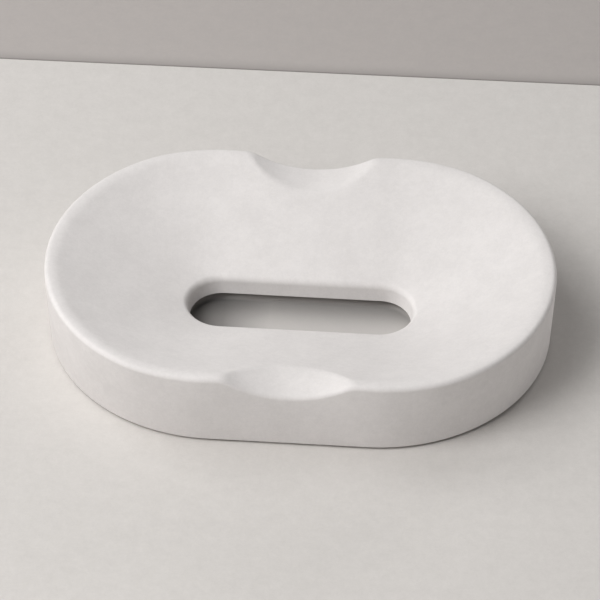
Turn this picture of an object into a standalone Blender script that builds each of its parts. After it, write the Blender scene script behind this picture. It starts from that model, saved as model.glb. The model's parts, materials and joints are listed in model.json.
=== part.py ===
"""Soap dish: a cast oval bowl with a drain slot and two thumb scoops, standing on four soft feet.

The length runs along X, the width along Y and the dish stands on the plane Z = 0, with its middle
over the origin. Every length is in metres.
"""
import math

import bmesh
import bpy
from mathutils import Vector

# Overall size, from the table to the crest of the rim
DISH_LENGTH = 0.130
DISH_HEIGHT = 0.0211
END_RADIUS = 0.0451          # of the round ends, seen from above
WAIST_DEPTH = 0.0013         # how far the crest is drawn in at the middle of a long side
WAIST_REACH = 0.0400         # from the middle of the dish to where that fades out

# Outer wall and rim
WALL_DRAFT = 0.0013          # how far the wall leans in between the crest and the table
CREST_RADIUS = 0.0015        # rounding from the wall to the top of the rim
CROWN_RADIUS = 0.0085        # softer rounding from the top of the rim into the bowl
BASE_EDGE_RADIUS = 0.0006    # rounding where the wall meets the base ring

# Bowl: a slightly hollow slope from the rim down to the slot
BOWL_SECTION_RADIUS = 0.270  # radius of the slope's curve, seen in a cut across the dish

# Drain slot through the middle of the bowl
SLOT_WIDTH = 0.0177          # at the top of its straight wall
SLOT_DRAFT = 0.0005          # how far each side of the slot leans in towards the underside
SLOT_LIP_RADIUS = 0.0020     # rounding from the bowl into the slot
SLOT_WALL_TOP = 0.0061       # height above the table where that rounding starts

# Underside: a raised middle inside a base ring
FOOT_STAND = 0.0005          # height of the base ring above the table
RECESS_ROOF_HEIGHT = 0.0030  # height of the raised middle above the table
BASE_RING_WIDTH = 0.0125
RECESS_CORNER_RADIUS = 0.0008

# Thumb scoops in the middle of both long sides
SCOOP_WIDTH = 0.0320         # across the scoop, at the height of the crest
SCOOP_DEPTH = 0.0048         # at the outer wall
SCOOP_TILT_DEG = 5.5         # how steeply the middle of its floor runs down to the outer wall
SCOOP_EDGE_RADIUS = 0.0020   # rounding where its floor meets the bowl
SCOOP_TIP_RADIUS = 0.0060    # rounding where the crest dips into the scoop

# Feet and their sockets
FOOT_DIAMETER = 0.0080
SOCKET_DEPTH = 0.0012
SEAT_CLEARANCE = 0.0003      # between a foot and its socket, all round
FOOT_SOLE_RADIUS = 0.0003    # rounding of the sole's edge
FOOT_TOP_CHAMFER = 0.0002
FOOT_BEARING_DEG = 45.0      # direction of a foot from the centre of its round end

# Facets
END_STEPS = 20               # in a quarter turn of a round end
SCOOP_STEPS = 14             # from the middle of a scoop to its tip
CREST_STEPS = 3              # in the rim's outer rounding, and in that of the scoop's inner edge
SLOPE_STEPS = 9              # from the rim or the scoop down to the slot
SLOPE_SPREAD_SHARE = 1.4     # above one crowds these steps towards the rim
LIP_STEPS = 4
CORNER_STEPS = 2
FOOT_STEPS = 32

SHARP_EDGE_DEG = 35.0        # steeper folds between facets are shaded as edges

MERGE_DISTANCE = 0.000001
CUT_OVERRUN = 0.0010         # how far a cutter stands out of what it cuts

# Finishes, as linear colours
STONE_COLOUR = (0.76, 0.73, 0.70, 1)
STONE_ROUGHNESS = 0.85
RUBBER_COLOUR = (0.55, 0.54, 0.52, 1)
RUBBER_ROUGHNESS = 0.75

# Worked out from the sizes above
END_CENTRE_X = DISH_LENGTH / 2 - END_RADIUS
SLOT_HALF_WIDTH = SLOT_WIDTH / 2
DRAFT_ANGLE = math.atan(WALL_DRAFT / DISH_HEIGHT)
RECESS_HALF_WIDTH = END_RADIUS - WALL_DRAFT - BASE_RING_WIDTH


def touching_wall(height, radius):
    """Return the centre, at a height, of a rounding of the given radius that touches the outer wall."""
    reach = END_RADIUS - (DISH_HEIGHT - CREST_RADIUS - height) * math.tan(DRAFT_ANGLE)
    return Vector((reach - radius / math.cos(DRAFT_ANGLE), height))


def lip_centre():
    """Return the centre of the rounding from the bowl into the slot."""
    return Vector((SLOT_HALF_WIDTH + SLOT_LIP_RADIUS, SLOT_WALL_TOP))


def crown_centre():
    """Return the centre of the soft rounding from the top of the rim into the bowl."""
    crest = touching_wall(DISH_HEIGHT - CREST_RADIUS, CREST_RADIUS)
    return Vector((crest.x, DISH_HEIGHT - CROWN_RADIUS))


def bowl_centre():
    """Return the centre of the bowl's slope, whose curve touches the roundings of rim and slot."""
    crown = crown_centre()
    lip = lip_centre()
    crown_distance = BOWL_SECTION_RADIUS + CROWN_RADIUS
    lip_distance = BOWL_SECTION_RADIUS + SLOT_LIP_RADIUS
    span = (crown - lip).length
    along = (crown - lip).normalized()
    above = Vector((-along.y, along.x))
    share = (lip_distance ** 2 - crown_distance ** 2 + span ** 2) / (2 * span)
    return lip + along * share + above * math.sqrt(lip_distance ** 2 - share ** 2)


def scoop_radius():
    """Return the radius of a scoop's floor, from its width and depth at the crest."""
    half = SCOOP_WIDTH / 2
    return (half ** 2 + SCOOP_DEPTH ** 2) / (2 * SCOOP_DEPTH)


def scoop_tip_x():
    """Return how far from the middle the crest starts to dip into a scoop."""
    radius = scoop_radius()
    rise = radius - SCOOP_DEPTH + SCOOP_TIP_RADIUS
    return math.sqrt((radius + SCOOP_TIP_RADIUS) ** 2 - rise ** 2)


def rim_height(x):
    """Return the height of the rim at x: the crest, or the floor of a scoop below it."""
    radius = scoop_radius()
    tip_x = scoop_tip_x()
    if x >= tip_x:
        return DISH_HEIGHT
    if x > tip_x * radius / (radius + SCOOP_TIP_RADIUS):
        dip = SCOOP_TIP_RADIUS - math.sqrt(SCOOP_TIP_RADIUS ** 2 - (tip_x - x) ** 2)
        return DISH_HEIGHT - dip
    return DISH_HEIGHT - SCOOP_DEPTH + radius - math.sqrt(radius ** 2 - x ** 2)


def arc(centre, radius, start, end, steps):
    """Return the points of an arc; angles are in radians from the outward direction."""
    turns = [start + (end - start) * step / steps for step in range(steps + 1)]
    return [centre + radius * Vector((math.cos(turn), math.sin(turn))) for turn in turns]


def turn_towards(start, end):
    """Return the direction from one point to another as an angle from the outward direction."""
    return math.atan2(end.y - start.y, end.x - start.x)


def inward_crossings(start, inward, centre, radius):
    """Return where a line crosses a circle: the outer and the inner point, or an empty list."""
    offset = start - centre
    reach = offset.dot(inward)
    square = reach ** 2 - offset.length_squared + radius ** 2
    if square < 0:
        return []
    return [start + inward * (sign * math.sqrt(square) - reach) for sign in (-1, 1)]


def scoop_edge(outer, floor_turn):
    """Return the centre of the rounding between a scoop's floor and the bowl, and where it ends.

    The floor is the line that touches the outer rounding in the direction floor_turn. The rounding
    touches that line from below, and ends on the crown of the rim or further down on the slope.
    """
    crown = crown_centre()
    bowl = bowl_centre()
    normal = Vector((math.cos(floor_turn), math.sin(floor_turn)))
    inward = Vector((-normal.y, normal.x))
    start = outer + normal * (CREST_RADIUS - SCOOP_EDGE_RADIUS)
    for centre in inward_crossings(start, inward, crown, CROWN_RADIUS - SCOOP_EDGE_RADIUS)[1:]:
        turn = turn_towards(crown, centre)
        if math.pi / 2 <= turn <= turn_towards(crown, bowl):
            return centre, turn
    centre = inward_crossings(start, inward, bowl, BOWL_SECTION_RADIUS + SCOOP_EDGE_RADIUS)[0]
    return centre, turn_towards(centre, bowl)


def slope_points(edge, edge_turn):
    """Return the points down the crown and the slope, between the scoop's edge and the slot's lip."""
    crown = crown_centre()
    bowl = bowl_centre()
    crown_end = turn_towards(crown, bowl)
    slope_end = turn_towards(lip_centre(), bowl)
    on_crown = (edge - crown).length <= CROWN_RADIUS - SCOOP_EDGE_RADIUS + MERGE_DISTANCE
    slope_start = crown_end if on_crown else edge_turn
    crown_length = CROWN_RADIUS * (crown_end - edge_turn) if on_crown else 0
    length = crown_length + BOWL_SECTION_RADIUS * (slope_start - slope_end)
    points = []
    for step in range(1, SLOPE_STEPS):
        distance = length * (step / SLOPE_STEPS) ** SLOPE_SPREAD_SHARE
        if distance < crown_length:
            points += arc(crown, CROWN_RADIUS, edge_turn + distance / CROWN_RADIUS, crown_end, 1)[:1]
        else:
            turn = slope_start - (distance - crown_length) / BOWL_SECTION_RADIUS
            points += arc(bowl, BOWL_SECTION_RADIUS, turn - math.pi, slope_end, 1)[:1]
    return points


def section_outline(top):
    """Return the casting's closed outline in a cut across the wall, as (distance, height) points.

    The distance is measured from the dish's middle line, and top is the height of the outer
    rounding. On the plain rim the outer rounding passes straight into the crown. In a scoop the
    floor lies between them, and it tips further outwards as the scoop gets deeper.
    """
    up = math.pi / 2
    lip = lip_centre()
    floor_turn = up - math.radians(SCOOP_TILT_DEG) * (DISH_HEIGHT - top) / SCOOP_DEPTH
    outer = touching_wall(top - CREST_RADIUS, CREST_RADIUS)
    if top < DISH_HEIGHT:
        edge, edge_turn = scoop_edge(outer, floor_turn)
    else:
        edge, edge_turn = Vector((outer.x, top - SCOOP_EDGE_RADIUS)), up
    base = touching_wall(FOOT_STAND + BASE_EDGE_RADIUS, BASE_EDGE_RADIUS)
    corner_height = RECESS_ROOF_HEIGHT - RECESS_CORNER_RADIUS
    corner = Vector((RECESS_HALF_WIDTH - RECESS_CORNER_RADIUS, corner_height))

    points = arc(base, BASE_EDGE_RADIUS, -up, -DRAFT_ANGLE, CORNER_STEPS)
    points += arc(outer, CREST_RADIUS, -DRAFT_ANGLE, floor_turn, CREST_STEPS)
    points += arc(edge, SCOOP_EDGE_RADIUS, floor_turn, edge_turn, CREST_STEPS)
    points += slope_points(edge, edge_turn)
    points += arc(lip, SLOT_LIP_RADIUS, turn_towards(lip, bowl_centre()), math.pi, LIP_STEPS)
    points.append(Vector((SLOT_HALF_WIDTH - SLOT_DRAFT, RECESS_ROOF_HEIGHT)))
    points += arc(corner, RECESS_CORNER_RADIUS, up, 0, CORNER_STEPS)
    points.append(Vector((RECESS_HALF_WIDTH, FOOT_STAND)))
    return points


def straight_stations():
    """Return the places along X of the cuts through the straight side, from a scoop's middle outwards."""
    reach = min(scoop_tip_x(), END_CENTRE_X)
    stations = [reach * step / SCOOP_STEPS for step in range(SCOOP_STEPS + 1)]
    if reach < END_CENTRE_X:
        stations.append(END_CENTRE_X)
    return stations


def sweep_quarter(bm):
    """Sweep the plain outline along half a straight side and round half an end."""
    number = bm.verts.layers.int.new("outline_point")
    outline = section_outline(DISH_HEIGHT)
    ring = [bm.verts.new((0, point.x, point.y)) for point in outline]
    for index, vert in enumerate(ring):
        vert[number] = index
    edges = [bm.edges.new((ring[index - 1], vert)) for index, vert in enumerate(ring)]
    stations = straight_stations()
    for start, end in zip(stations, stations[1:]):
        grown = bmesh.ops.extrude_edge_only(bm, edges=edges)["geom"]
        verts = [item for item in grown if isinstance(item, bmesh.types.BMVert)]
        edges = [item for item in grown if isinstance(item, bmesh.types.BMEdge)]
        bmesh.ops.translate(bm, verts=verts, vec=(end - start, 0, 0))
    bmesh.ops.spin(
        bm,
        geom=verts + edges,
        cent=(END_CENTRE_X, 0, 0),
        axis=(0, 0, 1),
        angle=-math.pi / 2,
        steps=END_STEPS,
        use_duplicate=False,
    )


def sink_scoop(bm):
    """Lower the rim to the floor of the scoop, wherever the wall lies within the scoop's tips."""
    number = bm.verts.layers.int["outline_point"]
    tip_x = scoop_tip_x()
    for vert in bm.verts:
        middle = Vector((min(vert.co.x, END_CENTRE_X), 0, 0))
        outward = Vector((vert.co.x - middle.x, vert.co.y, 0)).normalized()
        wall_x = middle.x + outward.x * END_RADIUS
        if wall_x < tip_x - MERGE_DISTANCE:
            distance, height = section_outline(rim_height(wall_x))[vert[number]]
            vert.co = middle + outward * distance
            vert.co.z = height


def draw_in_waist(bm):
    """Draw the long sides in towards the middle of the dish: fully at the crest, not at the table."""
    for vert in bm.verts:
        fade = 1 - min(vert.co.x / WAIST_REACH, 1) ** 2
        vert.co.y *= 1 - WAIST_DEPTH / END_RADIUS * fade * vert.co.z / DISH_HEIGHT


def mirror_quarter(bm):
    """Complete the dish from its quarter and close it."""
    for axis in "YX":
        geometry = list(bm.verts) + list(bm.edges) + list(bm.faces)
        bmesh.ops.mirror(bm, geom=geometry, axis=axis, merge_dist=MERGE_DISTANCE)
    bmesh.ops.remove_doubles(bm, verts=list(bm.verts), dist=MERGE_DISTANCE)
    bmesh.ops.recalc_face_normals(bm, faces=list(bm.faces))


def foot_places():
    """Return each foot's name and the middle of its sole."""
    reach = RECESS_HALF_WIDTH + BASE_RING_WIDTH / 2
    bearing = math.radians(FOOT_BEARING_DEG)
    x = END_CENTRE_X + reach * math.cos(bearing)
    y = reach * math.sin(bearing)
    return {
        "foot_front_left": Vector((-x, -y, 0)),
        "foot_front_right": Vector((x, -y, 0)),
        "foot_back_left": Vector((-x, y, 0)),
        "foot_back_right": Vector((x, y, 0)),
    }


def add_disc(bm, radius, bottom, top, place):
    """Add a short upright cylinder and return its new edges."""
    made = bmesh.ops.create_cone(
        bm,
        cap_ends=True,
        segments=FOOT_STEPS,
        radius1=radius,
        radius2=radius,
        depth=top - bottom,
    )["verts"]
    bmesh.ops.translate(bm, verts=made, vec=(place.x, place.y, (top + bottom) / 2))
    return {edge for vert in made for edge in vert.link_edges}


def foot_mesh():
    """Return a foot: a soft disc with a rounded sole and a chamfered top."""
    bm = bmesh.new()
    top = FOOT_STAND + SOCKET_DEPTH - SEAT_CLEARANCE
    edges = add_disc(bm, FOOT_DIAMETER / 2, 0, top, Vector((0, 0, 0)))
    middle = top / 2
    sole = [edge for edge in edges if all(vert.co.z < middle for vert in edge.verts)]
    crown = [edge for edge in edges if all(vert.co.z > middle for vert in edge.verts)]
    for rim, width, steps in ((sole, FOOT_SOLE_RADIUS, CORNER_STEPS), (crown, FOOT_TOP_CHAMFER, 1)):
        bmesh.ops.bevel(
            bm,
            geom=rim,
            offset=width,
            offset_type="OFFSET",
            segments=steps,
            profile=0.5,
            affect="EDGES",
            material=-1,
        )
    return finished_mesh(bm, "foot")


def socket_mesh():
    """Return the four discs that cut the feet's sockets into the base ring."""
    bm = bmesh.new()
    for place in foot_places().values():
        radius = FOOT_DIAMETER / 2 + SEAT_CLEARANCE
        add_disc(bm, radius, FOOT_STAND - CUT_OVERRUN, FOOT_STAND + SOCKET_DEPTH, place)
    return finished_mesh(bm, "foot_sockets")


def finished_mesh(bm, name):
    """Turn a bmesh into mesh data that is shaded smooth between its sharp edges."""
    mesh = bpy.data.meshes.new(name)
    bm.to_mesh(mesh)
    bm.free()
    mesh.shade_smooth()
    mesh.set_sharp_from_angle(angle=math.radians(SHARP_EDGE_DEG))
    return mesh


def add_object(name, mesh, parent):
    """Put mesh data in the scene under a name and a parent."""
    made = bpy.data.objects.new(name, mesh)
    bpy.context.scene.collection.objects.link(made)
    made.parent = parent
    return made


def plain_material(name, colour, roughness):
    """Return a non-metallic material."""
    made = bpy.data.materials.new(name)
    made.use_nodes = True
    shader = made.node_tree.nodes["Principled BSDF"]
    shader.inputs["Base Color"].default_value = colour
    shader.inputs["Roughness"].default_value = roughness
    shader.inputs["Metallic"].default_value = 0
    return made


def build_dish_body(parent):
    """Build the casting: the swept bowl with its scoops, and the sockets cut into its base ring."""
    bm = bmesh.new()
    sweep_quarter(bm)
    sink_scoop(bm)
    draw_in_waist(bm)
    mirror_quarter(bm)
    body = add_object("dish_body", finished_mesh(bm, "dish_body"), parent)
    body.data.materials.append(plain_material("cast_stone", STONE_COLOUR, STONE_ROUGHNESS))

    cutter = add_object("socket_cutter", socket_mesh(), parent)
    cutter.display_type = "WIRE"
    cutter.hide_render = True
    cut = body.modifiers.new("foot_sockets", "BOOLEAN")
    cut.operation = "DIFFERENCE"
    cut.solver = "EXACT"
    cut.object = cutter


def build_feet(parent):
    """Build the four feet from one shared mesh, each in its socket."""
    mesh = foot_mesh()
    mesh.materials.append(plain_material("soft_rubber", RUBBER_COLOUR, RUBBER_ROUGHNESS))
    for name, place in foot_places().items():
        foot = add_object(name, mesh, parent)
        foot.location = place


def main():
    """Clear the scene and build the soap dish."""
    for old in list(bpy.data.objects):
        bpy.data.objects.remove(old)
    soap_dish = add_object("soap_dish", None, None)
    build_dish_body(soap_dish)
    build_feet(soap_dish)


main()
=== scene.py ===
"""A cast soap dish on four soft feet, dressed and lit for a studio picture.

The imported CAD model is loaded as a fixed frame. The casting and the feet are modelled again with a
finer surface in the very places where the frame has them, and each gets a procedural finish.
Lengths are in metres, +Z is up, and the dish stands on Z = 0 with its middle over the origin.
"""

import json
import logging
import math
from dataclasses import dataclass
from enum import Enum
from functools import lru_cache
from typing import Any

import bmesh
import bpy
from mathutils import Matrix, Vector

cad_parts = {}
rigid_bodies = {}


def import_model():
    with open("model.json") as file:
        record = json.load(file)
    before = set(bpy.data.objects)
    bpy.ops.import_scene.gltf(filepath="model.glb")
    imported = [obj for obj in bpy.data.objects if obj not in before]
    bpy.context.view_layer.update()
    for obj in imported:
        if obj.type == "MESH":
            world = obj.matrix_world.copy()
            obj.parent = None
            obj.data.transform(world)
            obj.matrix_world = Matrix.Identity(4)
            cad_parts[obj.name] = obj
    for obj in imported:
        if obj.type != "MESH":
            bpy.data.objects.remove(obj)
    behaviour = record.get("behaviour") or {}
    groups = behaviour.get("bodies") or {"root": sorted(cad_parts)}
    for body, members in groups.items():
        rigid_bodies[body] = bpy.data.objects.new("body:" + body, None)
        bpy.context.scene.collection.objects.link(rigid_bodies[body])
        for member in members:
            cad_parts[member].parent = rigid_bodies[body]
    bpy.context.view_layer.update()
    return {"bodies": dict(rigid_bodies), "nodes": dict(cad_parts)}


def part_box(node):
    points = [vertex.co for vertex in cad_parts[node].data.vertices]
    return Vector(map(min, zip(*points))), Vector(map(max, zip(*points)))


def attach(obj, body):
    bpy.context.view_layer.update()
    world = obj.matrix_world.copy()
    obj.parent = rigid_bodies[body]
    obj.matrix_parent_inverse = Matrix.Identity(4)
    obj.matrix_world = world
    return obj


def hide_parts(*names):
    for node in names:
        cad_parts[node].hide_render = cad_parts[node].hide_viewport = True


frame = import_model()

log = logging.getLogger("soap_dish")

BODY = "root"
MERGE_DISTANCE = 0.000001            # points closer than this are one point
SHARP_EDGE_DEG = 35.0                # folds steeper than this are shaded as edges
NOISE_LOW = 0.3                      # between these lie nearly all values of a noise texture
NOISE_HIGH = 0.7


class Slot(Enum):
    """Material slots of the record."""

    CAST_STONE = "cast_stone"
    SOFT_RUBBER = "soft_rubber"


class Part(Enum):
    """CAD nodes of the frame."""

    DISH_BODY = "dish_body"
    FRONT_LEFT = "foot_front_left"
    FRONT_RIGHT = "foot_front_right"
    BACK_LEFT = "foot_back_left"
    BACK_RIGHT = "foot_back_right"


FEET = (Part.FRONT_LEFT, Part.FRONT_RIGHT, Part.BACK_LEFT, Part.BACK_RIGHT)


def linear_colour(hex_colour: str) -> tuple[float, float, float, float]:
    """Turn an sRGB hex colour into linear values.

    Args:
        hex_colour: The colour, such as "#E1DDD9".

    Returns:
        Linear red, green, blue and an alpha of 1.
    """
    channels = [int(hex_colour[start:start + 2], 16) / 255 for start in (1, 3, 5)]
    linear = [
        channel / 12.92 if channel <= 0.04045 else ((channel + 0.055) / 1.055) ** 2.4
        for channel in channels
    ]
    return (linear[0], linear[1], linear[2], 1.0)


def add_node(tree: bpy.types.NodeTree, kind: str, **sockets: Any) -> bpy.types.Node:
    """Add a shader node with its settings and links.

    Args:
        tree: The node tree that takes the node.
        kind: The node's type name, such as "ShaderNodeTexNoise".
        **sockets: Settings by attribute name in lower case, and inputs by socket name with spaces
            as underscores and a capital first letter. An input is a value or an output socket,
            and a list of them fills the inputs that share a name, in order.

    Returns:
        The new node.
    """
    node = tree.nodes.new(kind)
    for name, value in sockets.items():
        if name[0].islower():
            setattr(node, name, value)
    for name, value in sockets.items():
        if name[0].islower():
            continue
        label = name.replace("_", " ")
        named = [socket for socket in node.inputs if socket.enabled and socket.name == label]
        items = value if isinstance(value, list) else [value]
        for socket, item in zip(named[:len(items)], items, strict=True):
            if isinstance(item, bpy.types.NodeSocket):
                tree.links.new(item, socket)
            else:
                socket.default_value = item
    return node


def surface_shader(material: bpy.types.Material, **sockets: Any) -> None:
    """Give a material's empty tree one Principled BSDF.

    Args:
        material: The material to set up.
        **sockets: The shader's inputs, as add_node takes them.
    """
    tree = material.node_tree
    shader = add_node(tree, "ShaderNodeBsdfPrincipled", **sockets)
    output = tree.nodes["Material Output"]
    tree.links.new(shader.outputs["BSDF"], output.inputs["Surface"])


def empty_material(name: str) -> bpy.types.Material:
    """Return a new material whose tree holds nothing but its output.

    Args:
        name: The material's name.

    Returns:
        The material.
    """
    material = bpy.data.materials.new(name)
    material.use_nodes = True
    tree = material.node_tree
    tree.nodes.remove(tree.nodes["Principled BSDF"])
    return material


@dataclass(frozen=True)
class CastStone:
    """Mineral-filled resin, cast in an open mould and blasted matte.

    The fine mineral powder in the resin makes a warm off-white that scatters light evenly, with
    no gloss. Where powder and resin settled a little unevenly it is faintly clouded, and the
    blasting leaves a fine dry grain of no one size, like an eggshell's.
    """

    pale_hex: str = "#DEDAD8"
    deep_hex: str = "#D6D2D0"
    cloud_size: float = 0.0080       # clouding is 5 to 8 mm across
    cloud_detail: float = 2.0
    cloud_roughness: float = 0.6
    grain_size: float = 0.0016       # its coarsest speckle; blasted grain of about 0.1 mm, drawn
                                     # coarser so that it shows
    grain_detail: float = 3.0        # finer speckles inside it, each half as wide as the last
    grain_roughness: float = 1.0     # the fine speckles show as much as the coarse one
    grain_height: float = 0.000045
    grain_share: float = 0.6         # of the speckle in the colour, against the clouding
    deep_level: float = 0.38         # of speckle and clouding, where the colour is deepest
    pale_level: float = 0.62         # of them, where it is palest
    roughness_low: float = 0.80
    roughness_high: float = 0.90
    specular_level: float = 0.3      # the blasted surface keeps little of a resin's gloss

    def material(self) -> bpy.types.Material:
        """Build the material.

        Returns:
            The finished material.
        """
        material = empty_material("matte_cast_mineral_resin")
        tree = material.node_tree
        place = add_node(tree, "ShaderNodeTexCoord").outputs["Object"]
        clouds = add_node(
            tree,
            "ShaderNodeTexNoise",
            Vector=place,
            Scale=1 / self.cloud_size,
            Detail=self.cloud_detail,
            Roughness=self.cloud_roughness,
        )
        grain = add_node(
            tree,
            "ShaderNodeTexNoise",
            Vector=place,
            Scale=1 / self.grain_size,
            Detail=self.grain_detail,
            Roughness=self.grain_roughness,
        )
        shade = add_node(
            tree,
            "ShaderNodeMix",
            Factor=self.grain_share,
            A=clouds.outputs["Fac"],
            B=grain.outputs["Fac"],
        )
        spread = add_node(
            tree,
            "ShaderNodeMapRange",
            Value=shade.outputs["Result"],
            From_Min=self.deep_level,
            From_Max=self.pale_level,
        )
        colour = add_node(
            tree,
            "ShaderNodeMix",
            data_type="RGBA",
            Factor=spread.outputs["Result"],
            A=linear_colour(self.deep_hex),
            B=linear_colour(self.pale_hex),
        )
        roughness = add_node(
            tree,
            "ShaderNodeMapRange",
            Value=grain.outputs["Fac"],
            From_Min=NOISE_LOW,
            From_Max=NOISE_HIGH,
            To_Min=self.roughness_low,
            To_Max=self.roughness_high,
        )
        bump = add_node(
            tree,
            "ShaderNodeBump",
            Height=grain.outputs["Fac"],
            Distance=self.grain_height,
            Strength=1.0,
        )
        surface_shader(
            material,
            Base_Color=colour.outputs["Result"],
            Roughness=roughness.outputs["Result"],
            Normal=bump.outputs["Normal"],
            Specular_IOR_Level=self.specular_level,
        )
        return material


@dataclass(frozen=True)
class SoftRubber:
    """Cast polyurethane bumper: a soft, faintly cloudy grey with a dull skin that picks up dust."""

    clean_hex: str = "#C4C2BF"
    dusty_hex: str = "#B5B2AE"
    dust_size: float = 0.0012        # patches of dust and shelf marks on the sole, about 1 mm
    dust_detail: float = 4.0
    dust_roughness: float = 0.6
    skin_height: float = 0.000015
    roughness_low: float = 0.55
    roughness_high: float = 0.75

    def material(self) -> bpy.types.Material:
        """Build the material.

        Returns:
            The finished material.
        """
        material = empty_material("soft_polyurethane_bumper")
        tree = material.node_tree
        place = add_node(tree, "ShaderNodeTexCoord").outputs["Object"]
        dust = add_node(
            tree,
            "ShaderNodeTexNoise",
            Vector=place,
            Scale=1 / self.dust_size,
            Detail=self.dust_detail,
            Roughness=self.dust_roughness,
        )
        colour = add_node(
            tree,
            "ShaderNodeMix",
            data_type="RGBA",
            Factor=dust.outputs["Fac"],
            A=linear_colour(self.clean_hex),
            B=linear_colour(self.dusty_hex),
        )
        roughness = add_node(
            tree,
            "ShaderNodeMapRange",
            Value=dust.outputs["Fac"],
            From_Min=NOISE_LOW,
            From_Max=NOISE_HIGH,
            To_Min=self.roughness_low,
            To_Max=self.roughness_high,
        )
        bump = add_node(
            tree,
            "ShaderNodeBump",
            Height=dust.outputs["Fac"],
            Distance=self.skin_height,
            Strength=1.0,
        )
        surface_shader(
            material,
            Base_Color=colour.outputs["Result"],
            Roughness=roughness.outputs["Result"],
            Normal=bump.outputs["Normal"],
        )
        return material


@dataclass(frozen=True)
class MatteBoard:
    """Painted board: matte, with the even fine stipple that a paint roller leaves."""

    name: str
    pale_hex: str
    deep_hex: str
    stipple_size: float = 0.0048     # the roller's coarsest stipple, with finer ones in it
    stipple_detail: float = 5.0
    stipple_roughness: float = 1.0
    stipple_height: float = 0.000060
    roughness: float = 0.85
    specular_level: float = 0.3

    def tinted(
        self,
        tree: bpy.types.NodeTree,
        place: bpy.types.NodeSocket,
        plain: bpy.types.NodeSocket,
    ) -> bpy.types.NodeSocket:
        """Return the colour that shows: here the plain paint."""
        return plain

    def material(self) -> bpy.types.Material:
        """Build the material.

        Returns:
            The finished material.
        """
        material = empty_material(self.name)
        tree = material.node_tree
        place = add_node(tree, "ShaderNodeTexCoord").outputs["Object"]
        stipple = add_node(
            tree,
            "ShaderNodeTexNoise",
            Vector=place,
            Scale=1 / self.stipple_size,
            Detail=self.stipple_detail,
            Roughness=self.stipple_roughness,
        )
        spread = add_node(
            tree,
            "ShaderNodeMapRange",
            Value=stipple.outputs["Fac"],
            From_Min=NOISE_LOW,
            From_Max=NOISE_HIGH,
        )
        colour = add_node(
            tree,
            "ShaderNodeMix",
            data_type="RGBA",
            Factor=spread.outputs["Result"],
            A=linear_colour(self.deep_hex),
            B=linear_colour(self.pale_hex),
        )
        bump = add_node(
            tree,
            "ShaderNodeBump",
            Height=stipple.outputs["Fac"],
            Distance=self.stipple_height,
            Strength=1.0,
        )
        surface_shader(
            material,
            Base_Color=self.tinted(tree, place, colour.outputs["Result"]),
            Roughness=self.roughness,
            Normal=bump.outputs["Normal"],
            Specular_IOR_Level=self.specular_level,
        )
        return material


@dataclass(frozen=True)
class JointShadeBoard(MatteBoard):
    """Painted board with painted shade along its front edge, darkest at the joint and fading out from
    it.
    """

    # painted shade where the two boards meet
    joint_shade_hex: str = "#989390"
    joint_shade_width: float = 0.0045
    fade_power: float = 2.0          # above one it fades fastest next to the joint
    joint_y: float = 0.0
    joint_turn_deg: float = 0.0

    def tinted(
        self,
        tree: bpy.types.NodeTree,
        place: bpy.types.NodeSocket,
        plain: bpy.types.NodeSocket,
    ) -> bpy.types.NodeSocket:
        """Paint shade over the plain paint along the joint.

        Args:
            tree: The material's node tree.
            place: Object coordinates.
            plain: The plain paint's colour.

        Returns:
            The colour with the painted shade.
        """
        squared = add_node(
            tree,
            "ShaderNodeMapping",
            vector_type="TEXTURE",
            Vector=place,
            Location=(0.0, self.joint_y, 0.0),
            Rotation=(0.0, 0.0, math.radians(self.joint_turn_deg)),
        )
        beyond = add_node(tree, "ShaderNodeSeparateXYZ", Vector=squared.outputs["Vector"])
        near = add_node(
            tree,
            "ShaderNodeMapRange",
            Value=beyond.outputs["Y"],
            From_Max=self.joint_shade_width,
            To_Min=1.0,
            To_Max=0.0,
        )
        faded = add_node(
            tree,
            "ShaderNodeMath",
            operation="POWER",
            Value=[near.outputs["Result"], self.fade_power],
        )
        # painted shade along the joint, fading away from it
        joint_shaded = add_node(
            tree,
            "ShaderNodeMix",
            data_type="RGBA",
            Factor=faded.outputs["Value"],
            A=plain,
            B=linear_colour(self.joint_shade_hex),
        )
        return joint_shaded.outputs["Result"]


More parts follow.
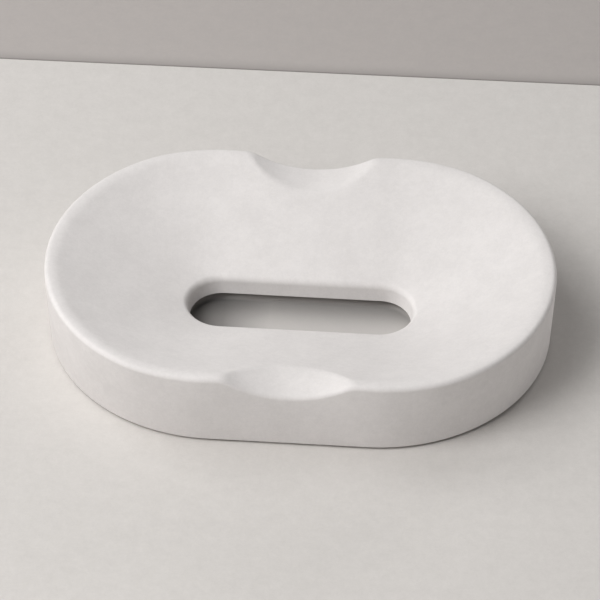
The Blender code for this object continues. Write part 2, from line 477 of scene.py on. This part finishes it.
@dataclass(frozen=True)
class PaintedShadeCard(MatteBoard):
    """Matte card whose colour is painted shade for the floor seen through a slot.

    It gets darker towards the slot's back and its left, which is painted shade, and paler outside
    the slot, which is painted light over the shade that the dish itself casts there.
    """

    back_shade_share: float = 0.56         # painted shade: share of its brightness kept behind back_y
    back_y: float = 0.0085
    front_y: float = -0.0015
    left_shade_share: float = 0.50         # painted shade: share of its brightness kept left of left_x
    left_x: float = -0.0200
    right_x: float = -0.0080
    outside_light_share: float = 1.10      # painted light: share of its brightness outside the slot
    slot_end_x: float = 0.0199       # the centre of the slot's round end
    slot_reach: float = 0.0087       # of the graded middle, from the slot's middle line
    fade_width: float = 0.0018

    def tinted(
        self,
        tree: bpy.types.NodeTree,
        place: bpy.types.NodeSocket,
        plain: bpy.types.NodeSocket,
    ) -> bpy.types.NodeSocket:
        """Paint shade into the plain card under the slot, and light outside it.

        Args:
            tree: The material's node tree.
            place: Object coordinates.
            plain: The plain card's colour.

        Returns:
            The graded colour.
        """
        spot = add_node(tree, "ShaderNodeSeparateXYZ", Vector=place)
        depth = add_node(
            tree,
            "ShaderNodeMapRange",
            interpolation_type="SMOOTHSTEP",
            Value=spot.outputs["Y"],
            From_Min=self.front_y,
            From_Max=self.back_y,
            To_Min=1.0,
            To_Max=self.back_shade_share,
        )
        side = add_node(
            tree,
            "ShaderNodeMapRange",
            Value=spot.outputs["X"],
            From_Min=self.left_x,
            From_Max=self.right_x,
            To_Min=self.left_shade_share,
            To_Max=1.0,
        )
        both = add_node(
            tree,
            "ShaderNodeMath",
            operation="MULTIPLY",
            Value=[depth.outputs["Result"], side.outputs["Result"]],
        )
        from_middle = add_node(
            tree,
            "ShaderNodeMath",
            operation="ABSOLUTE",
            Value=spot.outputs["X"],
        )
        past_end = add_node(
            tree,
            "ShaderNodeMapRange",
            Value=from_middle.outputs["Value"],
            From_Min=self.slot_end_x,
            From_Max=2 * self.slot_end_x,
            To_Min=0.0,
            To_Max=self.slot_end_x,
        )
        offset = add_node(
            tree,
            "ShaderNodeCombineXYZ",
            X=past_end.outputs["Result"],
            Y=spot.outputs["Y"],
        )
        distance = add_node(
            tree,
            "ShaderNodeVectorMath",
            operation="LENGTH",
            Vector=offset.outputs["Vector"],
        )
        outside = add_node(
            tree,
            "ShaderNodeMapRange",
            interpolation_type="SMOOTHSTEP",
            Value=distance.outputs["Value"],
            From_Min=self.slot_reach,
            From_Max=self.slot_reach + self.fade_width,
        )
        share = add_node(
            tree,
            "ShaderNodeMix",
            Factor=outside.outputs["Result"],
            A=both.outputs["Value"],
            B=self.outside_light_share,
        )
        # painted shade in the slot and painted light outside it, multiplied into the card
        graded = add_node(
            tree,
            "ShaderNodeMix",
            data_type="RGBA",
            blend_type="MULTIPLY",
            Factor=1.0,
            A=plain,
            B=share.outputs["Result"],
        )
        return graded.outputs["Result"]


def finished_object(
    bm: bmesh.types.BMesh,
    name: str,
    material: bpy.types.Material,
) -> bpy.types.Object:
    """Turn a bmesh into an object at the origin, shaded smooth between its sharp edges.

    Args:
        bm: The finished shape, which is freed.
        name: The object's name.
        material: Its one material.

    Returns:
        The object, linked to the scene.
    """
    mesh = bpy.data.meshes.new(name)
    bm.to_mesh(mesh)
    bm.free()
    mesh.shade_smooth()
    mesh.set_sharp_from_angle(angle=math.radians(SHARP_EDGE_DEG))
    mesh.materials.append(material)
    made = bpy.data.objects.new(name, mesh)
    bpy.context.scene.collection.objects.link(made)
    return made


def add_disc(
    bm: bmesh.types.BMesh,
    radius: float,
    bottom: float,
    top: float,
    place: Vector,
    segments: int,
) -> set[bmesh.types.BMEdge]:
    """Add a short upright cylinder.

    Args:
        bm: The bmesh that takes it.
        radius: Its radius.
        bottom: The height of its lower face.
        top: The height of its upper face.
        place: Its middle, seen from above.
        segments: How many sides it has.

    Returns:
        Its edges.
    """
    made = bmesh.ops.create_cone(
        bm,
        cap_ends=True,
        segments=segments,
        radius1=radius,
        radius2=radius,
        depth=top - bottom,
    )["verts"]
    bmesh.ops.translate(bm, verts=made, vec=(place.x, place.y, (top + bottom) / 2))
    return {edge for vert in made for edge in vert.link_edges}


def arc(centre: Vector, radius: float, start: float, end: float, steps: int) -> list[Vector]:
    """Return the points of an arc.

    Args:
        centre: Its centre, as (distance, height).
        radius: Its radius.
        start: The direction of its first point, in radians from the outward direction.
        end: The direction of its last point.
        steps: How many pieces it is cut into.

    Returns:
        The points, one more than steps.
    """
    turns = [start + (end - start) * step / steps for step in range(steps + 1)]
    return [centre + radius * Vector((math.cos(turn), math.sin(turn))) for turn in turns]


def turn_towards(start: Vector, end: Vector) -> float:
    """Return the direction from one point to another as an angle from the outward direction."""
    return math.atan2(end.y - start.y, end.x - start.x)


def inward_crossings(start: Vector, inward: Vector, centre: Vector, radius: float) -> list[Vector]:
    """Return where a line crosses a circle.

    Args:
        start: A point of the line.
        inward: The line's direction, a unit vector.
        centre: The circle's centre.
        radius: The circle's radius.

    Returns:
        The outer and the inner crossing, or an empty list.
    """
    offset = start - centre
    reach = offset.dot(inward)
    square = reach ** 2 - offset.length_squared + radius ** 2
    if square < 0:
        return []
    return [start + inward * (sign * math.sqrt(square) - reach) for sign in (-1, 1)]


@dataclass(frozen=True)
class ThumbScoop:
    """A thumb scoop in the middle of a long side: a round dip in the rim, tilted outwards."""

    width: float = 0.0320            # at the height of the crest
    depth: float = 0.0048            # at the outer wall
    tilt_deg: float = 5.5            # how steeply the middle of its floor runs down to the wall
    edge_radius: float = 0.0050      # rounding where its floor meets the bowl
    tip_radius: float = 0.0060       # rounding where the crest dips into it

    def floor_radius(self) -> float:
        """Return the radius of its floor, from its width and depth."""
        half = self.width / 2
        return (half ** 2 + self.depth ** 2) / (2 * self.depth)

    def tip_x(self) -> float:
        """Return how far from the middle the crest starts to dip."""
        rise = self.floor_radius() - self.depth + self.tip_radius
        return math.sqrt((self.floor_radius() + self.tip_radius) ** 2 - rise ** 2)

    def dip(self, x: float) -> float:
        """Return how far the rim lies below the crest.

        Args:
            x: The distance from the scoop's middle, along the wall.

        Returns:
            The dip, from zero at the tip to the scoop's depth in its middle.
        """
        radius = self.floor_radius()
        if x >= self.tip_x():
            return 0.0
        if x > self.tip_x() * radius / (radius + self.tip_radius):
            return self.tip_radius - math.sqrt(self.tip_radius ** 2 - (self.tip_x() - x) ** 2)
        return self.depth - radius + math.sqrt(radius ** 2 - x ** 2)


@dataclass(frozen=True)
class WallSection:
    """The casting's closed outline in a cut across its wall, from the slot to the outside.

    Points are (distance, height): the distance is measured from the dish's middle line.
    """

    crest_height: float
    stand: float
    scoop: ThumbScoop
    reach: float = 0.0451            # of the wall at the crest, from the middle line
    draft: float = 0.0013            # how far the wall leans in between the crest and the table
    crest_radius: float = 0.0012
    crown_radius: float = 0.0060     # softer rounding from the top of the rim into the bowl
    base_edge_radius: float = 0.0006
    bowl_radius: float = 0.270       # of the slightly hollow slope
    slot_width: float = 0.0177
    slot_draft: float = 0.0005
    lip_radius: float = 0.0020       # rounding from the bowl into the slot
    slot_wall_top: float = 0.0061
    recess_roof_height: float = 0.0030
    base_ring_width: float = 0.0125
    recess_corner_radius: float = 0.0008
    corner_steps: int = 6
    crest_steps: int = 10
    slope_steps: int = 28
    slope_spread_share: float = 1.4  # above one crowds these steps towards the rim
    lip_steps: int = 12

    def draft_angle(self) -> float:
        """Return the wall's lean from upright, in radians."""
        return math.atan(self.draft / self.crest_height)

    def recess_half_width(self) -> float:
        """Return the distance from the middle line to the inner side of the base ring."""
        return self.reach - self.draft - self.base_ring_width

    def touching_wall(self, height: float, radius: float) -> Vector:
        """Return the centre, at a height, of a rounding of the given radius that touches the wall."""
        fall = self.crest_height - self.crest_radius - height
        wall = self.reach - fall * math.tan(self.draft_angle())
        return Vector((wall - radius / math.cos(self.draft_angle()), height))

    def lip_centre(self) -> Vector:
        """Return the centre of the rounding from the bowl into the slot."""
        return Vector((self.slot_width / 2 + self.lip_radius, self.slot_wall_top))

    def crown_centre(self) -> Vector:
        """Return the centre of the soft rounding from the top of the rim into the bowl."""
        crest = self.touching_wall(self.crest_height - self.crest_radius, self.crest_radius)
        return Vector((crest.x, self.crest_height - self.crown_radius))

    def bowl_centre(self) -> Vector:
        """Return the centre of the slope, whose curve touches the roundings of rim and slot."""
        crown = self.crown_centre()
        lip = self.lip_centre()
        crown_distance = self.bowl_radius + self.crown_radius
        lip_distance = self.bowl_radius + self.lip_radius
        span = (crown - lip).length
        along = (crown - lip).normalized()
        above = Vector((-along.y, along.x))
        share = (lip_distance ** 2 - crown_distance ** 2 + span ** 2) / (2 * span)
        return lip + along * share + above * math.sqrt(lip_distance ** 2 - share ** 2)

    def scoop_edge(self, outer: Vector, floor_turn: float) -> tuple[Vector, float]:
        """Find the rounding between a scoop's floor and the bowl.

        The floor is the line that touches the outer rounding in the direction floor_turn. The
        edge rounding touches it from below, and ends on the crown or further down on the slope.

        Args:
            outer: The centre of the outer rounding.
            floor_turn: The direction of the floor's normal, in radians.

        Returns:
            The rounding's centre, and the direction in which it ends.
        """
        crown = self.crown_centre()
        bowl = self.bowl_centre()
        edge_radius = self.scoop.edge_radius
        normal = Vector((math.cos(floor_turn), math.sin(floor_turn)))
        inward = Vector((-normal.y, normal.x))
        start = outer + normal * (self.crest_radius - edge_radius)
        for centre in inward_crossings(start, inward, crown, self.crown_radius - edge_radius)[1:]:
            turn = turn_towards(crown, centre)
            if math.pi / 2 <= turn <= turn_towards(crown, bowl):
                return centre, turn
        centre = inward_crossings(start, inward, bowl, self.bowl_radius + edge_radius)[0]
        return centre, turn_towards(centre, bowl)

    def slope_points(self, edge: Vector, edge_turn: float) -> list[Vector]:
        """Return the points down the crown and the slope, between the scoop's edge and the lip.

        Args:
            edge: The centre of the scoop's edge rounding.
            edge_turn: The direction in which that rounding ends.

        Returns:
            The points, without those of the roundings at both ends.
        """
        crown = self.crown_centre()
        bowl = self.bowl_centre()
        crown_end = turn_towards(crown, bowl)
        slope_end = turn_towards(self.lip_centre(), bowl)
        inner_radius = self.crown_radius - self.scoop.edge_radius
        on_crown = (edge - crown).length <= inner_radius + MERGE_DISTANCE
        slope_start = crown_end if on_crown else edge_turn
        crown_length = self.crown_radius * (crown_end - edge_turn) if on_crown else 0.0
        length = crown_length + self.bowl_radius * (slope_start - slope_end)
        points = []
        for step in range(1, self.slope_steps):
            distance = length * (step / self.slope_steps) ** self.slope_spread_share
            if distance < crown_length:
                turn = edge_turn + distance / self.crown_radius
                points += arc(crown, self.crown_radius, turn, crown_end, 1)[:1]
            else:
                turn = slope_start - (distance - crown_length) / self.bowl_radius
                points += arc(bowl, self.bowl_radius, turn - math.pi, slope_end, 1)[:1]
        return points

    @lru_cache(maxsize=None)
    def outline(self, dip: float) -> tuple[Vector, ...]:
        """Return the closed outline where the rim lies a given dip below the crest.

        On the plain rim the outer rounding passes straight into the crown. In a scoop the floor
        lies between them, and it tips further outwards as the scoop gets deeper.

        Args:
            dip: How far the top of the outer rounding lies below the crest.

        Returns:
            The outline's points, of which there are as many for every dip.
        """
        up = math.pi / 2
        lean = self.draft_angle()
        lip = self.lip_centre()
        top = self.crest_height - dip
        floor_turn = up - math.radians(self.scoop.tilt_deg) * dip / self.scoop.depth
        outer = self.touching_wall(top - self.crest_radius, self.crest_radius)
        if dip > 0:
            edge, edge_turn = self.scoop_edge(outer, floor_turn)
        else:
            edge, edge_turn = Vector((outer.x, top - self.scoop.edge_radius)), up
        base = self.touching_wall(self.stand + self.base_edge_radius, self.base_edge_radius)
        corner_height = self.recess_roof_height - self.recess_corner_radius
        corner = Vector((self.recess_half_width() - self.recess_corner_radius, corner_height))

        points = arc(base, self.base_edge_radius, -up, -lean, self.corner_steps)
        points += arc(outer, self.crest_radius, -lean, floor_turn, self.crest_steps)
        points += arc(edge, self.scoop.edge_radius, floor_turn, edge_turn, self.crest_steps)
        points += self.slope_points(edge, edge_turn)
        lip_turn = turn_towards(lip, self.bowl_centre())
        points += arc(lip, self.lip_radius, lip_turn, math.pi, self.lip_steps)
        points.append(Vector((self.slot_width / 2 - self.slot_draft, self.recess_roof_height)))
        points += arc(corner, self.recess_corner_radius, up, 0, self.corner_steps)
        points.append(Vector((self.recess_half_width(), self.stand)))
        return tuple(points)


@dataclass(frozen=True)
class Casting:
    """The dish's one-piece casting, with its bowl, slot, scoops, base ring and foot sockets."""

    section: WallSection
    end_centre_x: float              # centre of the right-hand round end
    foot_box: tuple[Vector, Vector]  # of the right-hand foot at the back
    waist_depth: float = 0.0013      # how far the crest is drawn in at the middle of a long side
    waist_reach: float = 0.0400      # from the middle of the dish to where that fades out
    seat_clearance: float = 0.0003   # between a foot and its socket, all round
    cut_overrun: float = 0.0010
    end_steps: int = 64
    scoop_steps: int = 56
    socket_segments: int = 96

    @classmethod
    def from_frame(cls, length: float = 0.130) -> "Casting":
        """Set the casting up from the frame's heights and feet.

        Args:
            length: The dish's length over the crest.

        Returns:
            The casting, not built yet.
        """
        low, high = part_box(Part.DISH_BODY.value)
        section = WallSection(crest_height=high.z, stand=low.z, scoop=ThumbScoop())
        return cls(
            section=section,
            end_centre_x=length / 2 - section.reach,
            foot_box=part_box(Part.BACK_RIGHT.value),
        )

    def straight_stations(self) -> list[float]:
        """Return the places along X of the cuts through the straight side, from its middle."""
        reach = min(self.section.scoop.tip_x(), self.end_centre_x)
        stations = [reach * step / self.scoop_steps for step in range(self.scoop_steps + 1)]
        if reach < self.end_centre_x:
            stations.append(self.end_centre_x)
        return stations

    def sweep_quarter(self, bm: bmesh.types.BMesh) -> None:
        """Sweep the plain outline along half a straight side and round half an end."""
        number = bm.verts.layers.int.new("outline_point")
        ring = [bm.verts.new((0, point.x, point.y)) for point in self.section.outline(0.0)]
        for index, vert in enumerate(ring):
            vert[number] = index
        edges = [bm.edges.new((ring[index - 1], vert)) for index, vert in enumerate(ring)]
        verts = ring
        stations = self.straight_stations()
        for start, end in zip(stations, stations[1:]):
            grown = bmesh.ops.extrude_edge_only(bm, edges=edges)["geom"]
            verts = [item for item in grown if isinstance(item, bmesh.types.BMVert)]
            edges = [item for item in grown if isinstance(item, bmesh.types.BMEdge)]
            bmesh.ops.translate(bm, verts=verts, vec=(end - start, 0, 0))
        bmesh.ops.spin(
            bm,
            geom=verts + edges,
            cent=(self.end_centre_x, 0, 0),
            axis=(0, 0, 1),
            angle=-math.pi / 2,
            steps=self.end_steps,
            use_duplicate=False,
        )

    def sink_scoop(self, bm: bmesh.types.BMesh) -> None:
        """Lower the rim to the floor of the scoop, wherever the wall lies within the scoop's tips."""
        number = bm.verts.layers.int["outline_point"]
        tip_x = self.section.scoop.tip_x()
        for vert in bm.verts:
            middle = Vector((min(vert.co.x, self.end_centre_x), 0, 0))
            outward = Vector((vert.co.x - middle.x, vert.co.y, 0)).normalized()
            wall_x = middle.x + outward.x * self.section.reach
            if wall_x < tip_x - MERGE_DISTANCE:
                outline = self.section.outline(self.section.scoop.dip(wall_x))
                distance, height = outline[vert[number]]
                vert.co = middle + outward * distance
                vert.co.z = height

    def draw_in_waist(self, bm: bmesh.types.BMesh) -> None:
        """Draw the long sides in towards the middle: fully at the crest, not at the table."""
        for vert in bm.verts:
            fade = 1 - min(vert.co.x / self.waist_reach, 1) ** 2
            lift = vert.co.z / self.section.crest_height
            vert.co.y *= 1 - self.waist_depth / self.section.reach * fade * lift

    def mirror_quarter(self, bm: bmesh.types.BMesh) -> None:
        """Complete the dish from its quarter and close it."""
        for axis in "YX":
            geometry = list(bm.verts) + list(bm.edges) + list(bm.faces)
            bmesh.ops.mirror(bm, geom=geometry, axis=axis, merge_dist=MERGE_DISTANCE)
        bmesh.ops.remove_doubles(bm, verts=list(bm.verts), dist=MERGE_DISTANCE)
        bmesh.ops.recalc_face_normals(bm, faces=list(bm.faces))

    def cut_sockets(self, body: bpy.types.Object) -> None:
        """Cut the four foot sockets into the base ring and leave no modifier behind.

        Args:
            body: The casting's object.
        """
        low, high = self.foot_box
        middle = (low + high) / 2
        radius = (high.x - low.x) / 2 + self.seat_clearance
        bm = bmesh.new()
        for side in (-1, 1):
            for depth in (-1, 1):
                add_disc(
                    bm,
                    radius,
                    self.section.stand - self.cut_overrun,
                    high.z + self.seat_clearance,
                    Vector((side * middle.x, depth * middle.y, 0)),
                    self.socket_segments,
                )
        cutter = finished_object(bm, "socket_cutter", body.data.materials[0])
        cut = body.modifiers.new("foot_sockets", "BOOLEAN")
        cut.operation = "DIFFERENCE"
        cut.solver = "EXACT"
        cut.object = cutter
        depsgraph = bpy.context.evaluated_depsgraph_get()
        mesh = bpy.data.meshes.new_from_object(body.evaluated_get(depsgraph), depsgraph=depsgraph)
        body.modifiers.remove(cut)
        body.data = mesh
        bpy.data.objects.remove(cutter)

    def build(self, finish: CastStone) -> bpy.types.Object:
        """Model and dress the casting.

        Args:
            finish: What it is cast of.

        Returns:
            The casting's object, riding on the body and standing for its CAD node.
        """
        bm = bmesh.new()
        self.sweep_quarter(bm)
        self.sink_scoop(bm)
        self.draw_in_waist(bm)
        self.mirror_quarter(bm)
        body = finished_object(bm, "stone_casting", finish.material())
        self.cut_sockets(body)
        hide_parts(Part.DISH_BODY.value)
        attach(body, BODY)
        return body


@dataclass(frozen=True)
class SoftFeet:
    """The four soft feet, each in its socket where the frame has it."""

    sole_radius: float = 0.0003
    top_chamfer: float = 0.0002
    sole_steps: int = 6
    segments: int = 96

    def build_foot(self, part: Part, material: bpy.types.Material) -> bpy.types.Object:
        """Model and dress one foot: a soft disc with a rounded sole and a chamfered top.

        Args:
            part: The CAD node that it stands for.
            material: What it is made of.

        Returns:
            The foot's object, riding on the body.
        """
        low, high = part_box(part.value)
        middle = (low + high) / 2
        bm = bmesh.new()
        edges = add_disc(bm, (high.x - low.x) / 2, low.z, high.z, middle, self.segments)
        sole = [edge for edge in edges if all(vert.co.z < middle.z for vert in edge.verts)]
        crown = [edge for edge in edges if all(vert.co.z > middle.z for vert in edge.verts)]
        roundings = (
            (sole, self.sole_radius, self.sole_steps),
            (crown, self.top_chamfer, 1),
        )
        for rim, width, steps in roundings:
            bmesh.ops.bevel(
                bm,
                geom=rim,
                offset=width,
                offset_type="OFFSET",
                segments=steps,
                profile=0.5,
                affect="EDGES",
                material=-1,
            )
        foot = finished_object(bm, part.value.replace("foot", "soft_foot"), material)
        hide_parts(part.value)
        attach(foot, BODY)
        return foot

    def build(self, finish: SoftRubber) -> list[bpy.types.Object]:
        """Model and dress all four feet.

        Args:
            finish: What they are made of.

        Returns:
            The feet's objects.
        """
        material = finish.material()
        return [self.build_foot(part, material) for part in FEET]


@dataclass(frozen=True)
class Tabletop:
    """The pale board that the dish stands on, a darker one behind it, and a card of painted shade in
    the slot.

    The card lies flat under the dish, inside its base ring. Its colour is painted shade that darkens
    the floor seen through the slot, and painted light around it.
    """

    span: float = 3.0                # from the joint of the boards to their far edges
    thickness: float = 0.0180
    joint_y: float = 0.1016          # behind the middle of the dish
    joint_turn_deg: float = 0.47
    joint_gap: float = 0.0003
    edge_radius: float = 0.0003
    edge_steps: int = 3
    card_half_length: float = 0.0480
    card_half_width: float = 0.0180
    card_thickness: float = 0.0001
    card_steps: int = 96

    def build_board(self, name: str, side: int, finish: MatteBoard) -> bpy.types.Object:
        """Model one of the two boards.

        Args:
            name: The board's name.
            side: -1 for the board in front of the joint, 1 for the one behind it.
            finish: How it is painted.

        Returns:
            The board's object.
        """
        bm = bmesh.new()
        made = bmesh.ops.create_cube(bm, size=1)["verts"]
        size = Vector((2 * self.span, self.span, self.thickness))
        bmesh.ops.scale(bm, verts=made, vec=size)
        joint = self.joint_gap / 2
        bmesh.ops.translate(bm, verts=made, vec=(0, side * (size.y / 2 + joint), -size.z / 2))
        top_edge = [
            edge
            for edge in bm.edges
            if all(abs(vert.co.y) < self.span / 2 and vert.co.z > -size.z / 2 for vert in edge.verts)
        ]
        bmesh.ops.bevel(
            bm,
            geom=top_edge,
            offset=self.edge_radius,
            offset_type="OFFSET",
            segments=self.edge_steps,
            profile=0.5,
            affect="EDGES",
            material=-1,
        )
        turn = Matrix.Rotation(math.radians(self.joint_turn_deg), 4, "Z")
        bmesh.ops.transform(bm, verts=list(bm.verts), matrix=turn)
        bmesh.ops.translate(bm, verts=list(bm.verts), vec=(0, self.joint_y, 0))
        return finished_object(bm, name, finish.material())

    def build_shade_card(self) -> bpy.types.Object:
        """Model the card of painted shade: a thin oval with straight sides.

        Returns:
            The card's object.
        """
        bm = bmesh.new()
        bmesh.ops.create_circle(
            bm,
            cap_ends=True,
            radius=self.card_half_width,
            segments=self.card_steps,
        )
        stretch = self.card_half_length - self.card_half_width
        for vert in bm.verts:
            if abs(vert.co.x) > MERGE_DISTANCE:
                vert.co.x += math.copysign(stretch, vert.co.x)
        grown = bmesh.ops.extrude_face_region(bm, geom=list(bm.faces))["geom"]
        verts = [item for item in grown if isinstance(item, bmesh.types.BMVert)]
        bmesh.ops.translate(bm, verts=verts, vec=(0, 0, self.card_thickness))
        bmesh.ops.recalc_face_normals(bm, faces=list(bm.faces))
        # the card's grading paints the slot's shade and the light outside it
        finish = PaintedShadeCard("painted_slot_shade_card", "#C1BDB9", "#BDB9B6")
        return finished_object(bm, "painted_shade_card", finish.material())

    def build(self) -> None:
        """Build the boards and the card."""
        near = MatteBoard("matte_pale_board", "#D4D0CC", "#CAC6C2")
        # the far board has painted shade along the joint
        far = JointShadeBoard(
            "matte_grey_board",
            "#B0AAA6",
            "#A9A3A0",
            joint_y=self.joint_y,
            joint_turn_deg=self.joint_turn_deg,
        )
        surfaces = [
            self.build_board("pale_board", -1, near),
            self.build_board("grey_board", 1, far),
            self.build_shade_card(),
        ]


@dataclass(frozen=True)
class SoftLamp:
    """A round soft lamp that looks at the dish."""

    name: str
    bearing_deg: float               # 0 is to the right of the dish, 90 behind it
    height_deg: float                # above the table, seen from the dish
    distance: float
    radius: float
    power: float                     # watts

    def build(self) -> None:
        """Place the lamp."""
        lamp = bpy.data.lights.new(self.name, "AREA")
        lamp.shape = "DISK"
        lamp.size = 2 * self.radius
        lamp.energy = self.power
        made = bpy.data.objects.new(self.name, lamp)
        bearing = math.radians(self.bearing_deg)
        height = math.radians(self.height_deg)
        level = math.cos(height)
        away = Vector((math.cos(bearing) * level, math.sin(bearing) * level, math.sin(height)))
        made.location = away * self.distance
        made.rotation_euler = away.to_track_quat("Z", "Y").to_euler()
        made.visible_camera = False
        bpy.context.scene.collection.objects.link(made)


@dataclass(frozen=True)
class Studio:
    """Soft studio light: a broad key from the front left, weaker lamps round it and a dim room."""

    room_hex: str = "#FFFFFF"
    room_strength: float = 0.150
    backdrop_hex: str = "#AFA9A5"
    lamps: tuple[SoftLamp, ...] = (
        SoftLamp("key_front_left", 210, 45, 1.0, 0.30, 6.61),
        SoftLamp("fill_back_left", 150, 45, 1.0, 0.30, 2.82),
        SoftLamp("fill_above", 210, 65, 1.0, 0.30, 2.06),
        SoftLamp("low_back_right", 60, 12, 1.0, 0.20, 1.98),
        SoftLamp("low_front_right", 330, 12, 1.0, 0.20, 1.37),
        SoftLamp("low_front_left", 240, 22, 0.6, 0.20, 0.16),
    )

    def build_room(self) -> None:
        """Set the dim light of the room, and the plain tone that shows beyond the boards."""
        world = bpy.data.worlds.new("plain_room")
        bpy.context.scene.world = world
        world.use_nodes = True
        tree = world.node_tree
        tree.nodes.remove(tree.nodes["Background"])
        room = add_node(
            tree,
            "ShaderNodeBackground",
            Color=linear_colour(self.room_hex),
            Strength=self.room_strength,
        )
        seen = add_node(
            tree,
            "ShaderNodeBackground",
            Color=linear_colour(self.backdrop_hex),
            Strength=1.0,
        )
        path = add_node(tree, "ShaderNodeLightPath")
        shown = path.outputs["Is Camera Ray"]
        for other in ("Is Glossy Ray", "Is Transmission Ray"):
            either = add_node(
                tree,
                "ShaderNodeMath",
                operation="MAXIMUM",
                Value=[shown, path.outputs[other]],
            )
            shown = either.outputs["Value"]
        mixed = add_node(
            tree,
            "ShaderNodeMixShader",
            Fac=shown,
            Shader=[room.outputs["Background"], seen.outputs["Background"]],
        )
        tree.links.new(mixed.outputs["Shader"], tree.nodes["World Output"].inputs["Surface"])

    def build(self) -> None:
        """Place the lamps and set the room and the view transform."""
        for lamp in self.lamps:
            lamp.build()
        self.build_room()
        bpy.context.scene.view_settings.view_transform = "Standard"


@dataclass(frozen=True)
class PhotoCamera:
    """The camera, at the photograph's viewing angle and with its long lens."""

    azimuth_deg: float = 4.475       # 0 looks along +Y
    elevation_deg: float = 42.14
    distance: float = 1.5413
    aim: tuple[float, float, float] = (-0.0009, 0.0104, 0.0)
    focal_length_mm: float = 360.0
    sensor_width_mm: float = 36.0

    def build(self) -> None:
        """Place the camera and make it the scene's."""
        camera = bpy.data.cameras.new("photo_camera")
        camera.lens = self.focal_length_mm
        camera.sensor_width = self.sensor_width_mm
        made = bpy.data.objects.new("photo_camera", camera)
        azimuth = math.radians(self.azimuth_deg)
        elevation = math.radians(self.elevation_deg)
        level = math.cos(elevation)
        back = Vector((math.sin(azimuth) * level, -math.cos(azimuth) * level, math.sin(elevation)))
        made.location = Vector(self.aim) + back * self.distance
        made.rotation_euler = (-back).to_track_quat("-Z", "Y").to_euler()
        bpy.context.scene.collection.objects.link(made)
        bpy.context.scene.camera = made


def clear_defaults() -> None:
    """Remove the objects of Blender's own start scene, which aren't the frame's."""
    kept = set(frame["nodes"].values()) | set(frame["bodies"].values())
    for old in list(bpy.data.objects):
        if old not in kept:
            bpy.data.objects.remove(old)


def main() -> None:
    """Build the dish, its stage, its light and its camera in order."""
    logging.basicConfig(level=logging.INFO, format="%(name)s: %(message)s")
    clear_defaults()
    PhotoCamera().build()
    Studio().build()
    Tabletop().build()
    pieces = [Casting.from_frame().build(CastStone())]
    pieces += SoftFeet().build(SoftRubber())


if __name__ == "__main__":
    main()
